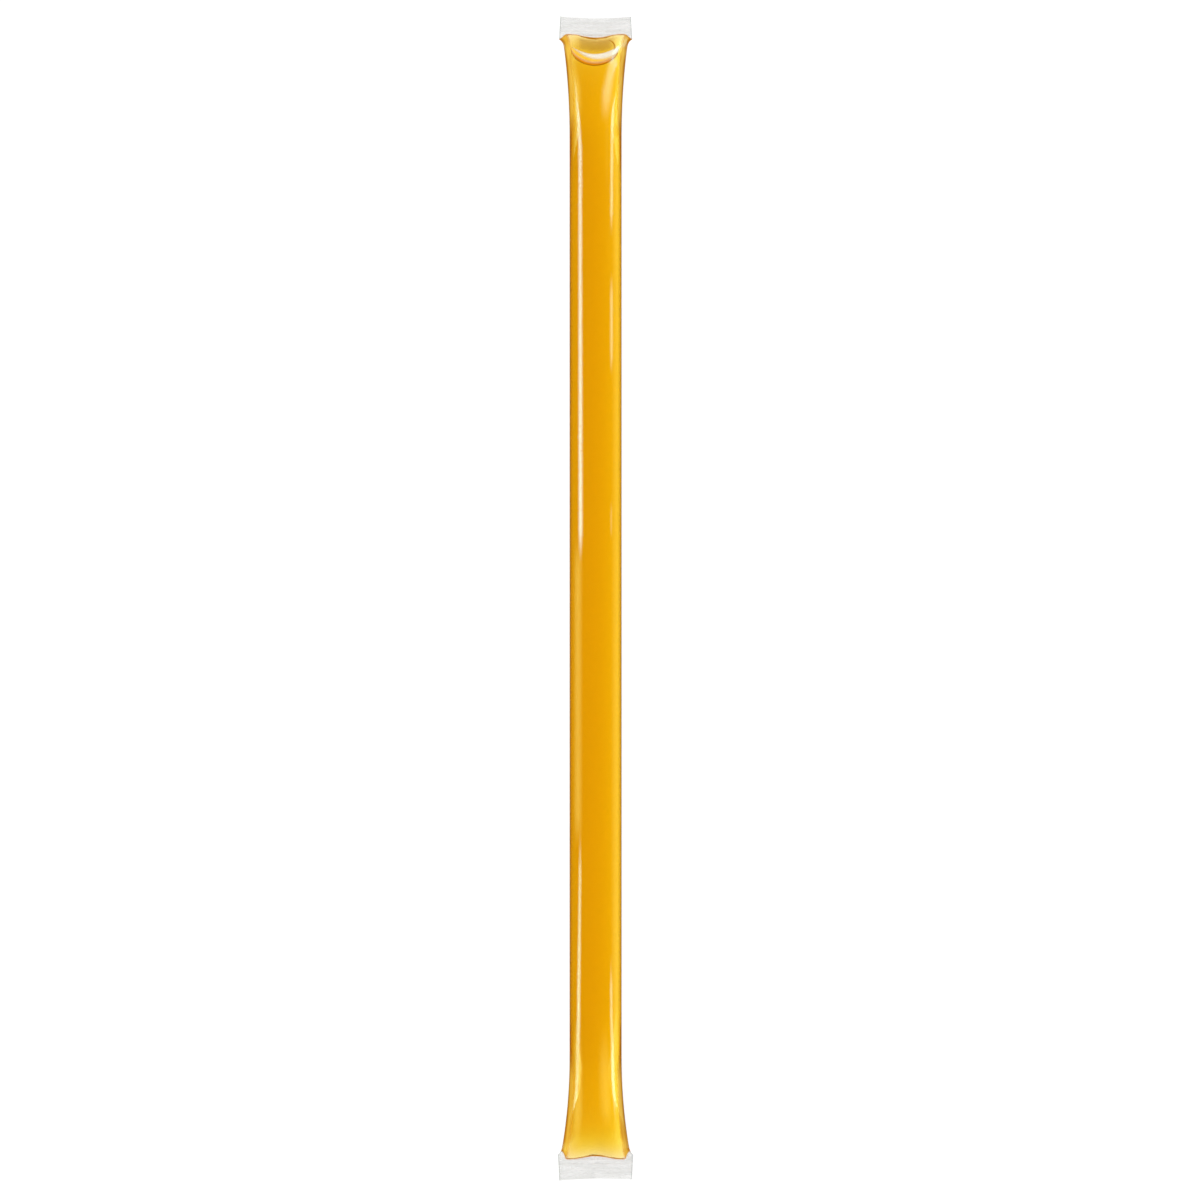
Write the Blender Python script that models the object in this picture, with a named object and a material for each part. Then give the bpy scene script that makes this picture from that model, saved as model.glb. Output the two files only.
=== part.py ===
"""Honey stick: a clear drinking straw, filled with honey and pressed flat and welded at both ends.

The straw is one piece of plastic and is sealed all round, so the whole stick is one closed solid.
It lies on a table with the broad faces of its seals up and down. Units are metres. The origin is on
the table under the middle of the stick, +Y runs along it to its top end, +X across the seals, +Z up.
"""

import math
from dataclasses import dataclass

import bmesh
import bpy
from mathutils import Matrix, Vector

# Driving dimensions
STICK_LENGTH = 0.150
TUBE_DIAMETER = 0.0067
TABLE_FLAT_WIDTH = 0.0018  # the soft wall settles flat by this much where it lies on the table
SEAL_THICKNESS = 0.00042  # two walls, welded into one
SEAL_TAPER = 0.00015  # a seal is this much narrower at its cut edge, each side
FLARE_LENGTH = 0.0125  # from the weld to where the tube is down to its full width
CORNER_REACH = 0.00030  # how fast the seal's square corners run into the flare
CRIMPS = 5  # the jaws press this many fine ridges across each seal
CRIMP_DEPTH = 0.00006
CRIMP_MARGIN = 0.00030  # the ridges fade out this far from the seal's borders

# How the height swells from the weld to the round tube: a wedge at first, then a slow rise.
WEDGE_SLOPE = 0.56  # of each wall, just inside the weld
SLOW_SWELL_SHARE = 0.22  # the slow rise starts this share below the round tube's height
SLOW_SWELL_LENGTH = 0.020
SWELL_BLEND = 5  # a higher number turns the wedge into the slow rise more sharply

# A section's wall height follows sin(angle) to one of these powers.
OVAL_SECTION = 1.0
BAND_SECTION = 0.12  # a flat band with square edges
BAND_BLEND = 0.00045  # over this length the oval turns into the band

# Mesh density
SIDES = 48
RINGS_PER_CRIMP = 4
FLARE_RINGS = 17
RING_SPREAD = 1.7  # the rings of a flare lie closer together towards the weld
BODY_RINGS = 5

RADIUS = TUBE_DIAMETER / 2
AXIS_HEIGHT = math.sqrt(RADIUS**2 - (TABLE_FLAT_WIDTH / 2) ** 2)

HONEY_AMBER = (0.80, 0.37, 0.02, 1.0)


@dataclass(frozen=True)
class End:
    """One sealed end. Its side is +1 for the top end and -1 for the bottom end."""

    side: int
    seal_length: float
    seal_width: float
    flare_rise: float  # how much wider than the tube the flare is at the weld, each side
    lobe_depth: float  # the filling reaches this much further into the seal near its two corners
    cut_dip: float  # the cut edge is drawn back this much at its middle
    cut_skew: float  # and this much more at its right corner than at its left one


TOP_END = End(
    side=1,
    seal_length=0.0028,
    seal_width=0.0094,
    flare_rise=0.00085,
    lobe_depth=0.00045,
    cut_dip=0.00022,
    cut_skew=0.00004,
)
BOTTOM_END = End(
    side=-1,
    seal_length=0.0032,
    seal_width=0.00966,
    flare_rise=0.00112,
    lobe_depth=0.00040,
    cut_dip=0.00018,
    cut_skew=0.00016,
)

# Shape of the weld line over half the seal's width, in shares of it.
LOBE_PLACE = 0.72
LOBE_FALL = 1.35  # the lobe is past its top by this share at the corner
CORNER_START = 0.80
CORNER_PULL = 1.1  # the weld's corner is drawn towards the tube by this many lobe depths

WIDTH_POWER = 2.0  # how the flare's width opens from the round tube to the weld


def smooth_step(low, high, value):
    """0 below low, 1 above high and an S-curve between them."""
    share = min(max((value - low) / (high - low), 0.0), 1.0)
    return share * share * (3 - 2 * share)


def weld_line(end, across):
    """How far from the middle of the stick the weld begins. across is -1 to 1 over the seal's width."""
    lobe = math.sin(math.pi / 2 * min(abs(across) / LOBE_PLACE, LOBE_FALL)) ** 2
    corner = smooth_step(CORNER_START, 1.0, abs(across))
    return STICK_LENGTH / 2 - end.seal_length + end.lobe_depth * (lobe - CORNER_PULL * corner)


def share_left(inside, length):
    """1 at the weld and 0 from this length on. inside is the distance from the weld."""
    return min(max(1 - inside / length, 0.0), 1.0)


def half_width(end, inside):
    if inside < 0:
        return end.seal_width / 2 + SEAL_TAPER * inside / end.seal_length
    corner = end.seal_width / 2 - RADIUS - end.flare_rise
    flare = end.flare_rise * share_left(inside, FLARE_LENGTH) ** WIDTH_POWER
    return RADIUS + flare + corner * math.exp(-inside / CORNER_REACH)


def half_height(inside):
    full_rise = RADIUS - SEAL_THICKNESS / 2
    wedge = WEDGE_SLOPE * max(inside, 0.0)
    slow = full_rise * (1 - SLOW_SWELL_SHARE * share_left(inside, SLOW_SWELL_LENGTH))
    rise = wedge * slow / (wedge**SWELL_BLEND + slow**SWELL_BLEND) ** (1 / SWELL_BLEND)
    return SEAL_THICKNESS / 2 + rise


def section_power(inside):
    band = 1 - smooth_step(-BAND_BLEND, 0, inside)
    return OVAL_SECTION + (BAND_SECTION - OVAL_SECTION) * band


def crimp(end, depth, to_cut):
    """Height of the pressed ridges. Both faces of the seal rise and fall together.

    depth is the distance from the weld and to_cut the distance from a straight cut edge.
    """
    fade = smooth_step(0, CRIMP_MARGIN, depth) * smooth_step(0, CRIMP_MARGIN, to_cut)
    return CRIMP_DEPTH * math.cos(2 * math.pi * CRIMPS * to_cut / end.seal_length) * fade


def draw_back(end, across, to_cut):
    """How far the uneven cut draws this place of the seal back from a straight cut."""
    share = max(1 - to_cut / end.seal_length, 0.0)
    return share * (end.cut_dip * (1 - across**2) + end.cut_skew * (1 + across) / 2)


def pressed(point):
    """Where a point of the round tube's wall goes when the two ends are pressed flat."""
    end = TOP_END if point.y > 0 else BOTTOM_END
    across, up = point.x / RADIUS, point.z / RADIUS
    to_cut = STICK_LENGTH / 2 - abs(point.y)
    inside = weld_line(end, across) - abs(point.y)
    rise = half_height(inside) * abs(up) ** section_power(inside)
    x = half_width(end, inside) * across
    y = point.y - end.side * draw_back(end, across, to_cut)
    z = AXIS_HEIGHT + math.copysign(rise, up) + crimp(end, -inside, to_cut)
    return Vector((x, y, max(z, 0.0)))


def ring_places():
    """Where along the stick the wall has a ring of corners: close in the seals and flares."""
    places = []
    for end in (TOP_END, BOTTOM_END):
        weld = STICK_LENGTH / 2 - end.seal_length
        seal_rings = CRIMPS * RINGS_PER_CRIMP
        for ring in range(seal_rings):
            places.append(end.side * (weld + end.seal_length * ring / seal_rings))
        for ring in range(1, FLARE_RINGS + 1):
            places.append(end.side * (weld - SLOW_SWELL_LENGTH * (ring / FLARE_RINGS) ** RING_SPREAD))
    round_end = STICK_LENGTH / 2 - TOP_END.seal_length - SLOW_SWELL_LENGTH
    for ring in range(1, BODY_RINGS + 1):
        places.append(round_end * (2 * ring / (BODY_RINGS + 1) - 1))
    return sorted(places)


def round_straw():
    """A closed round tube of the stick's length along Y, with its rings in place."""
    shape = bmesh.new()
    bmesh.ops.create_cone(
        shape,
        cap_ends=True,
        segments=SIDES,
        radius1=RADIUS,
        radius2=RADIUS,
        depth=STICK_LENGTH,
        matrix=Matrix.Rotation(math.pi / 2, 4, "X"),
    )
    for place in ring_places():
        everything = shape.verts[:] + shape.edges[:] + shape.faces[:]
        bmesh.ops.bisect_plane(shape, geom=everything, plane_co=(0, place, 0), plane_no=(0, 1, 0))
    return shape


def add_material(name, colour, roughness, metallic=0.0):
    material = bpy.data.materials.new(name)
    material.use_nodes = True
    shader = material.node_tree.nodes["Principled BSDF"]
    shader.inputs["Base Color"].default_value = colour
    shader.inputs["Roughness"].default_value = roughness
    shader.inputs["Metallic"].default_value = metallic
    return material


def add_honey_stick(collection):
    shape = round_straw()
    for corner in shape.verts:
        corner.co = pressed(corner.co)
    bmesh.ops.recalc_face_normals(shape, faces=shape.faces[:])
    mesh = bpy.data.meshes.new("honey_stick")
    shape.to_mesh(mesh)
    shape.free()
    mesh.shade_smooth()
    mesh.set_sharp_from_angle(angle=math.radians(40))
    mesh.materials.append(add_material("honey in clear film", HONEY_AMBER, 0.08))
    stick = bpy.data.objects.new("honey_stick", mesh)
    collection.objects.link(stick)
    return stick


def main():
    for leftover in list(bpy.data.objects):
        bpy.data.objects.remove(leftover)
    parts = bpy.data.collections.new("honey stick")
    bpy.context.scene.collection.children.link(parts)
    add_honey_stick(parts)


main()
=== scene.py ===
# %% [markdown]
# # A honey stick
#
# A honey stick is a clear plastic straw, filled with honey and pressed flat and welded at both ends.
# It lies on its side here, with the broad faces of its two seals up and down. The imported model gives
# its outer form as one solid. This lesson takes that solid away and puts the real things in its
# place: a thin clear film with its ridged seals and the honey inside it with its one air bubble. A thin
# skin around that bubble carries the bubble's painted highlight and painted shade.

import math
from dataclasses import dataclass

import bmesh
import bpy
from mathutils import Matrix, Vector


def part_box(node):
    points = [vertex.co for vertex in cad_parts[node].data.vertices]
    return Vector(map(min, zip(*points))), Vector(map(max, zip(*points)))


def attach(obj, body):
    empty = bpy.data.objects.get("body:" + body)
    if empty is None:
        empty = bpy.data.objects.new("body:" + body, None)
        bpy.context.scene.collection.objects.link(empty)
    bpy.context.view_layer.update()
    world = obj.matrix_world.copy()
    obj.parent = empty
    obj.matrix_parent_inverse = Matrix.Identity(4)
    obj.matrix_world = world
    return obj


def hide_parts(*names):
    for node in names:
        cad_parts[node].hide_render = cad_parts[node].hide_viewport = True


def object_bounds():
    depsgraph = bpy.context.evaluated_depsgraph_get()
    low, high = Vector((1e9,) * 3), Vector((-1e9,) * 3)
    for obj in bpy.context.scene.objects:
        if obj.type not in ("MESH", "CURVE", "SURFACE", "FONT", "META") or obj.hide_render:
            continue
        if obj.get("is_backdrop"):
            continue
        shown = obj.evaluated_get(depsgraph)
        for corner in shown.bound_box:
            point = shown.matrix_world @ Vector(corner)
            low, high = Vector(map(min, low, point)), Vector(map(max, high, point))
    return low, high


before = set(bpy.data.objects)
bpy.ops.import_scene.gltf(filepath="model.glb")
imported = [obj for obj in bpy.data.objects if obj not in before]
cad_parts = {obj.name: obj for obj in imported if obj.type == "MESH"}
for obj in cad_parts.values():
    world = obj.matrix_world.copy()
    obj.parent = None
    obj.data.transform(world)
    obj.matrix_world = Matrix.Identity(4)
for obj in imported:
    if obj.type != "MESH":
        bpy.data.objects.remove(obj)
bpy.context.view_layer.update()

# %% [markdown]
# ## The stick's few sizes
#
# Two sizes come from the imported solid: its length, and the height of the straw as it lies. The soft
# straw settles on the table with a narrow flat, so the height is a little less than the diameter, and
# the radius is worked out from both. All other sizes are those of the solid's own design. They could
# be measured off its mesh too, but the film needs them as formulas, at any fineness.

# %% Sizes
MM = 0.001

low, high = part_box("honey_stick")
STICK_LENGTH = high.y - low.y
TABLE_FLAT_WIDTH = 1.8 * MM
RADIUS = (high.z**2 + (TABLE_FLAT_WIDTH / 2) ** 2) / (2 * high.z)
AXIS_HEIGHT = high.z - RADIUS

SEAL_THICKNESS = 0.42 * MM
SEAL_TAPER = 0.15 * MM
FLARE_LENGTH = 12.5 * MM
CORNER_REACH = 0.30 * MM
CRIMPS = 5
CRIMP_DEPTH = 0.06 * MM
CRIMP_MARGIN = 0.30 * MM
BAND_BLEND = 0.45 * MM

print("straw diameter, mm:", round(2 * RADIUS / MM, 3))


@dataclass(frozen=True)
class End:
    """One sealed end. Its side is +1 for the top end and -1 for the bottom end."""

    side: int
    seal_length: float
    seal_width: float
    flare_rise: float
    lobe_depth: float
    cut_dip: float
    cut_skew: float
    corner_cut: float  # the honey stops this far short of the weld at the seal's two corners


TOP_END = End(
    side=1,
    seal_length=2.8 * MM,
    seal_width=9.4 * MM,
    flare_rise=0.85 * MM,
    lobe_depth=0.45 * MM,
    cut_dip=0.22 * MM,
    cut_skew=0.04 * MM,
    corner_cut=0.0,
)
BOTTOM_END = End(
    side=-1,
    seal_length=3.2 * MM,
    seal_width=9.66 * MM,
    flare_rise=1.12 * MM,
    lobe_depth=0.40 * MM,
    cut_dip=0.18 * MM,
    cut_skew=0.16 * MM,
    corner_cut=0.50 * MM,
)

# %% [markdown]
# ## Pressing a round tube flat
#
# Each cross-section of the straw is a circle whose left and right are stretched and whose height is
# squeezed, to an ever flatter oval near the weld and to a flat band in the seal. One function for
# each of these measures, all of the distance from the weld, gives every section. A lattice or a
# boolean could make a similar form, but formulas give the film, its inner face and the honey from the
# same code, each a little smaller than the last.

# %% The formulas of the form
OVAL_SECTION = 1.0
BAND_SECTION = 0.12
WEDGE_SLOPE = 0.56
SLOW_SWELL_SHARE = 0.22
SLOW_SWELL_LENGTH = 20 * MM
SWELL_BLEND = 5
LOBE_PLACE, LOBE_FALL = 0.72, 1.35  # the weld's two lobes, in shares of half the seal's width
CORNER_START, CORNER_PULL = 0.80, 1.1
WIDTH_POWER = 2  # how the flare's width opens from the round tube to the weld


def smooth_step(low, high, value):
    """0 below low, 1 above high and an S-curve between them."""
    share = min(max((value - low) / (high - low), 0.0), 1.0)
    return share * share * (3 - 2 * share)


def weld_line(end, across):
    """How far from the middle of the stick the weld begins. across is -1 to 1 over the seal's width."""
    lobe = math.sin(math.pi / 2 * min(abs(across) / LOBE_PLACE, LOBE_FALL)) ** 2
    corner = smooth_step(CORNER_START, 1.0, abs(across))
    return STICK_LENGTH / 2 - end.seal_length + end.lobe_depth * (lobe - CORNER_PULL * corner)


def share_left(inside, length):
    """1 at the weld and 0 from this length on. inside is the distance from the weld."""
    return min(max(1 - inside / length, 0.0), 1.0)


def half_width(end, inside, corner_share=1.0):
    if inside < 0:
        return end.seal_width / 2 + SEAL_TAPER * inside / end.seal_length
    corner = (end.seal_width / 2 - RADIUS - end.flare_rise) * corner_share
    flare = end.flare_rise * share_left(inside, FLARE_LENGTH) ** WIDTH_POWER
    return RADIUS + flare + corner * math.exp(-inside / CORNER_REACH)


def half_height(inside):
    full_rise = RADIUS - SEAL_THICKNESS / 2
    wedge = WEDGE_SLOPE * max(inside, 0.0)
    slow = full_rise * (1 - SLOW_SWELL_SHARE * share_left(inside, SLOW_SWELL_LENGTH))
    rise = wedge * slow / (wedge**SWELL_BLEND + slow**SWELL_BLEND) ** (1 / SWELL_BLEND)
    return SEAL_THICKNESS / 2 + rise


def section_power(inside):
    band = 1 - smooth_step(-BAND_BLEND, 0, inside)
    return OVAL_SECTION + (BAND_SECTION - OVAL_SECTION) * band


def crimp(end, depth, to_cut):
    """Height of the ridges that the hot jaws press across the seal."""
    fade = smooth_step(0, CRIMP_MARGIN, depth) * smooth_step(0, CRIMP_MARGIN, to_cut)
    return CRIMP_DEPTH * math.cos(2 * math.pi * CRIMPS * to_cut / end.seal_length) * fade


def draw_back(end, across, to_cut):
    """How far the uneven cut draws this place of the seal back from a straight cut."""
    share = max(1 - to_cut / end.seal_length, 0.0)
    return share * (end.cut_dip * (1 - across**2) + end.cut_skew * (1 + across) / 2)


print("half height 2 mm from the weld, mm:", round(half_height(2 * MM) / MM, 2))

# %% [markdown]
# Where the walls meet the weld they pucker: the round tube has more wall than the flat seal is wide.
# The puckers are shallow folds that run along the stick and fade out over a few millimetres.

# %% Puckers beside the weld
PUCKER_HEIGHT = 0.05 * MM
PUCKER_REACH = 1.6 * MM
PUCKER_RISE = 0.5 * MM
WIDE_WAVE, WIDE_SHIFT = 9.0, 1.3  # in radians over half the seal's width
FINE_WAVE, FINE_SHIFT, FINE_SHARE = 17.0, -0.8, 0.6


def pucker(end, across, inside):
    wide = math.sin(WIDE_WAVE * across + WIDE_SHIFT * end.side)
    fine = math.sin(FINE_WAVE * across + FINE_SHIFT * end.side)
    rise_in = smooth_step(0, PUCKER_RISE, inside)
    fade = math.exp(-max(inside, 0) / PUCKER_REACH)
    return PUCKER_HEIGHT * (wide + FINE_SHARE * fine) * rise_in * fade


print("tallest pucker, mm:", round(PUCKER_HEIGHT * (1 + FINE_SHARE) / MM, 2))

# %% [markdown]
# ## One surface, three times
#
# A surface of the stick is a row of rings, each with the same number of points. `inset` draws a
# surface in from the outer one: by nothing for the film's outer face, by the wall for its inner face,
# and by a little for the honey, which then reaches just into the film and leaves no air gap.

# %% Points of the wall and of the seals
WALL = 0.15 * MM
HONEY_INSET = 0.03 * MM
FILLED_CORNER = 0.4  # inside the wall, this share of the seal's square corners is left
TIP_ROUNDING = 0.14 * MM
CUT_START, CUT_END = 0.74, 0.96  # where the cut corner begins and ends, across the seal
CUT_REACH = 1.0 * MM


def corner_cut(end, across):
    return end.corner_cut * smooth_step(CUT_START, CUT_END, abs(across))


def wall_point(end, angle, inside, inset=0.0):
    """A point of the wall, inset from the outer face, at this distance from the hollow's end."""
    across, up = math.cos(angle), math.sin(angle)
    corner_share = 1.0 if inset == 0 else FILLED_CORNER
    tip = inside
    if inset:
        inside += corner_cut(end, across) * math.exp(-inside / CUT_REACH)
    height = half_height(inside) - inset
    if inset and tip < TIP_ROUNDING:
        height *= math.sqrt(max(1 - (1 - tip / TIP_ROUNDING) ** 2, 0.0))
    rise = height * abs(up) ** section_power(inside)
    x = (half_width(end, inside, corner_share) - inset) * across
    y = end.side * (weld_line(end, across) - inside)
    z = AXIS_HEIGHT + math.copysign(rise, up) + pucker(end, across, inside) * up**2
    return Vector((x, y, max(z, inset)))


def seal_point(end, angle, share):
    """A point of the welded seal: share is 0 at the weld and 1 at the cut edge."""
    across, up = math.cos(angle), math.sin(angle)
    weld = weld_line(end, across)
    reach = weld + (STICK_LENGTH / 2 - weld) * share
    inside, to_cut = weld - reach, STICK_LENGTH / 2 - reach
    rise = half_height(inside) * abs(up) ** section_power(inside)
    y = end.side * (reach - draw_back(end, across, to_cut))
    z = AXIS_HEIGHT + math.copysign(rise, up) + crimp(end, -inside, to_cut)
    return Vector((half_width(end, inside) * across, y, z))


print("right end of the top weld, mm:", [round(v / MM, 2) for v in wall_point(TOP_END, 0.0, 0.0)])

# %% [markdown]
# Rings follow the weld line. They stand close together beside it, where the form changes fast, and
# far apart on the round tube.

# %% Rings
SIDES = 128
ANGLES = [2 * math.pi * i / SIDES for i in range(SIDES)]
FLARE_RINGS = 64
SEAL_RINGS = 60
BODY_RINGS = 24
RING_SPREAD = 2


def flare_rings(end, inset=0.0):
    """Rings from the weld to the round tube, close together at the weld."""
    places = [SLOW_SWELL_LENGTH * (i / FLARE_RINGS) ** RING_SPREAD for i in range(FLARE_RINGS + 1)]
    return [[wall_point(end, angle, place, inset) for angle in ANGLES] for place in places]


def body_rings(first, last):
    """Rings of the round tube between two others."""
    shares = [i / (BODY_RINGS + 1) for i in range(1, BODY_RINGS + 1)]
    return [[a.lerp(b, share) for a, b in zip(first, last)] for share in shares]


def tube_rings(inset=0.0):
    """All rings from the top weld to the bottom weld."""
    top = flare_rings(TOP_END, inset)
    bottom = flare_rings(BOTTOM_END, inset)[::-1]
    return top + body_rings(top[-1], bottom[0]) + bottom


def seal_rings(end):
    """Rings from the cut edge to just before the weld."""
    shares = [1 - i / SEAL_RINGS for i in range(SEAL_RINGS)]
    return [[seal_point(end, angle, share) for angle in ANGLES] for share in shares]


print("rings from weld to weld:", len(tube_rings()))

# %% [markdown]
# `add_surface` skins a row of rings with quads and closes both ends. A flat end has no middle to fan
# its faces around, so the upper and the lower half of the last ring are laced together instead.


# %% Skin the rings
def new_shape(*marks):
    """An empty bmesh whose corners can each hold these marks, for the finishes to read."""
    shape = bmesh.new()
    for mark in marks:
        shape.verts.layers.float.new(mark)
    return shape


def mark_place(shape, grid):
    """Writes to each corner how deep in the honey it lies, along the stick, and how far across."""
    depth = shape.verts.layers.float["honey_depth"]
    sideways = shape.verts.layers.float["sideways"]
    for ring in grid:
        for angle, corner in zip(ANGLES, ring):
            across = math.cos(angle)
            end = TOP_END if corner.co.y > 0 else BOTTOM_END
            corner[depth] = weld_line(end, across) - corner_cut(end, across) - abs(corner.co.y)
            corner[sideways] = abs(across)


def add_surface(shape, rings, slot=0, facing_in=False):
    """Adds a closed surface to a bmesh. facing_in turns it inside out, for a hollow."""
    grid = [[shape.verts.new(point) for point in ring] for ring in rings]
    mark_place(shape, grid)
    faces = []
    for ring, following in zip(grid, grid[1:]):
        for i in range(SIDES):
            j = (i + 1) % SIDES
            faces.append(shape.faces.new((ring[i], ring[j], following[j], following[i])))
    for ring in (grid[0], grid[-1]):
        for i in range(SIDES // 2):
            corners = [ring[i], ring[i + 1], ring[SIDES - i - 1], ring[-i % SIDES]]
            corners = list(dict.fromkeys(corners))
            faces.append(shape.faces.new(corners))
    bmesh.ops.recalc_face_normals(shape, faces=faces)
    if facing_in:
        bmesh.ops.reverse_faces(shape, faces=faces)
    for face in faces:
        face.material_index = slot
        face.smooth = True


print("corners on each ring:", len(ANGLES))

# %% [markdown]
# Every piece lies still on the part's one body, so one helper turns a bmesh into an object and lets it
# ride on `root`. Edges sharper than an angle stay sharp, and all others are shaded round.


# %% From a mesh to a piece
def finish_piece(name, shape, sharp_degrees):
    """Turns a bmesh into a piece that rides on the part's one body."""
    mesh = bpy.data.meshes.new(name)
    shape.to_mesh(mesh)
    shape.free()
    mesh.set_sharp_from_angle(angle=math.radians(sharp_degrees))
    piece = bpy.data.objects.new(name, mesh)
    bpy.context.scene.collection.objects.link(piece)
    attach(piece, "root")
    print(name, "has", len(mesh.polygons), "faces")
    return piece


# %% [markdown]
# ## The film
#
# The film is one skin with a hollow: its outer face runs from cut edge to cut edge, seals included,
# and its inner face from weld to weld. In the seals the two walls are one.

# %% Make the film
film_shape = new_shape("honey_depth", "sideways")
outer = seal_rings(TOP_END) + tube_rings() + seal_rings(BOTTOM_END)[::-1]
add_surface(film_shape, outer)
add_surface(film_shape, tube_rings(WALL), slot=1, facing_in=True)
film = finish_piece("film", film_shape, 35)
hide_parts("honey_stick")

# %% [markdown]
# ## The air bubble
#
# A filler never fills a straw quite to the weld. Honey wets the film, so it creeps into the narrowest
# part of the wedge, and the air left over stays just in front of it, where the walls are a little
# further apart. It is a crescent there: round towards the middle of the stick and hollowed on the
# weld's side, with a horn at each end. The crescent is swept like a tube, from ring to ring between
# its two border curves, and floats up until it all but touches the upper wall.

# %% The bubble's form
BUBBLE_CENTRE = (-0.10 * MM, 71.07 * MM)
BUBBLE_HALF_WIDTH = 3.05 * MM
BUBBLE_FRONT = 2.62 * MM
BUBBLE_HOLLOW = 1.03 * MM
HOLLOW_POWER = 2.2
BUBBLE_FLATNESS = 0.55  # height of the tube to its width
BUBBLE_LEAN = 1.5  # above 1, the tube is thickest near its front border
BUBBLE_COAT = 0.12 * MM  # of honey between the bubble and the film
BUBBLE_RINGS = 72
RING_SIDES = 28
HORN_LENGTH = 0.02 * MM


def room_above(x, y):
    """Half the height of the film's hollow at this place near the top end."""
    across = x / (TOP_END.seal_width / 2)
    inside = max(weld_line(TOP_END, across) - y, 0.0)
    width = half_width(TOP_END, inside, FILLED_CORNER) - WALL
    across = min(abs(x) / width, 1.0)
    return max(half_height(inside) - WALL, 0.0) * math.sqrt(1 - across**2)


def bubble_ring(turn, grow):
    """One ring of the crescent. turn runs from 0 at its left horn to pi at its right one."""
    x, y = BUBBLE_CENTRE
    front = Vector((x - BUBBLE_HALF_WIDTH * math.cos(turn), y - BUBBLE_FRONT * math.sin(turn)))
    back = Vector((front.x, y - BUBBLE_HOLLOW * math.sin(turn) ** HOLLOW_POWER))
    middle, half = (front + back) / 2, (back - front) / 2
    rise = BUBBLE_FLATNESS * half.length
    ceiling = max(room_above(middle.x, middle.y) - BUBBLE_COAT, rise)
    ring = []
    for i in range(RING_SIDES):
        angle = 2 * math.pi * i / RING_SIDES
        spot = front + 2 * half * ((1 + math.cos(angle)) / 2) ** BUBBLE_LEAN
        y = spot.y + grow * math.cos(angle)
        ring.append(Vector((spot.x, y, AXIS_HEIGHT + ceiling - rise + (rise + grow) * math.sin(angle))))
    return ring


print("bubble from horn to horn, mm:", round(2 * BUBBLE_HALF_WIDTH / MM, 2))

# %% [markdown]
# The rings are skinned with quads, and each horn is closed with a fan of triangles. The mesh also
# holds two marks for the finish: how near each corner is to the front, and how far round it is from
# the left horn to the right one.


# %% Skin the bubble
def add_bubble(shape, grow=0.0, facing_in=False):
    """Adds the bubble to a bmesh. grow swells it a little."""
    turns = [math.pi * i / BUBBLE_RINGS for i in range(1, BUBBLE_RINGS)]
    grid = [[shape.verts.new(point) for point in bubble_ring(turn, grow)] for turn in turns]
    to_front = shape.verts.layers.float["bubble_front"]
    to_right = shape.verts.layers.float["bubble_turn"]
    for turn, ring in zip(turns, grid):
        for i, corner in enumerate(ring):
            back = ((1 + math.cos(2 * math.pi * i / RING_SIDES)) / 2) ** BUBBLE_LEAN
            corner[to_front] = 1 - back
            corner[to_right] = turn / math.pi
    horns = []
    for ring in (grid[0], grid[-1]):
        middle = sum((corner.co for corner in ring), Vector()) / RING_SIDES
        side = -1 if ring is grid[0] else 1
        horns.append(shape.verts.new(middle + Vector((side * HORN_LENGTH, 0.0, 0.0))))
    for horn, ring in zip(horns, (grid[0], grid[-1])):
        horn[to_front] = 1.0
        horn[to_right] = ring[0][to_right]
    faces = []
    for i in range(RING_SIDES):
        j = (i + 1) % RING_SIDES
        faces.append(shape.faces.new((horns[0], grid[0][i], grid[0][j])))
        faces.append(shape.faces.new((horns[1], grid[-1][j], grid[-1][i])))
        for ring, following in zip(grid, grid[1:]):
            faces.append(shape.faces.new((ring[i], following[i], following[j], ring[j])))
    bmesh.ops.recalc_face_normals(shape, faces=faces)
    if facing_in:
        bmesh.ops.reverse_faces(shape, faces=faces)
    for face in faces:
        face.smooth = True


print("corners on the bubble:", (BUBBLE_RINGS - 1) * RING_SIDES + 2)

# %% [markdown]
# ## The honey
#
# The honey fills the film from weld to weld. Its ends are rounded off a little, as any liquid's are
# in a narrow wedge, and those small round ends draw the fine dark lines along both welds.

# %% Make the honey
honey_shape = new_shape("honey_depth", "sideways", "bubble_front", "bubble_turn")
add_surface(honey_shape, tube_rings(HONEY_INSET))
add_bubble(honey_shape, facing_in=True)
honey = finish_piece("honey", honey_shape, 60)

# %% [markdown]
# The bubble's highlight and shade are painted: a cream painted highlight on the weld's side and a
# burnt orange painted shade at the front. A thin skin just around the hollow carries that paint, as a
# finish can't tell the bubble's wall from the rest of the honey.

# %% Make the bubble's skin
SKIN_GAP = 0.012 * MM

skin_shape = new_shape("bubble_front", "bubble_turn")
add_bubble(skin_shape, grow=SKIN_GAP)
# This piece only carries the bubble's painted highlight and painted shade.
bubble = finish_piece("bubble_light_skin", skin_shape, 60)

# %% [markdown]
# ## Writing finishes as sums
#
# A finish is a tree of nodes. Wiring each by hand hides what it works out, so a small class wraps an
# output socket and lets Python's own signs add the Math nodes. One method makes any other node.


# %% A socket that can be reckoned with
class Value:
    """An output socket that can be added, taken away and multiplied like a number."""

    def __init__(self, nodes, socket):
        self.nodes = nodes
        self.socket = socket

    def maths(self, operation, first, second):
        return self.nodes.node("ShaderNodeMath", {"operation": operation}, {0: first, 1: second})

    def __add__(self, other):
        return self.maths("ADD", self, other)

    __radd__ = __add__

    def __sub__(self, other):
        return self.maths("SUBTRACT", self, other)

    def __rsub__(self, other):
        return self.maths("SUBTRACT", other, self)

    def __mul__(self, other):
        return self.maths("MULTIPLY", self, other)

    __rmul__ = __mul__


print("class made:", Value.__name__)


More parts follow.
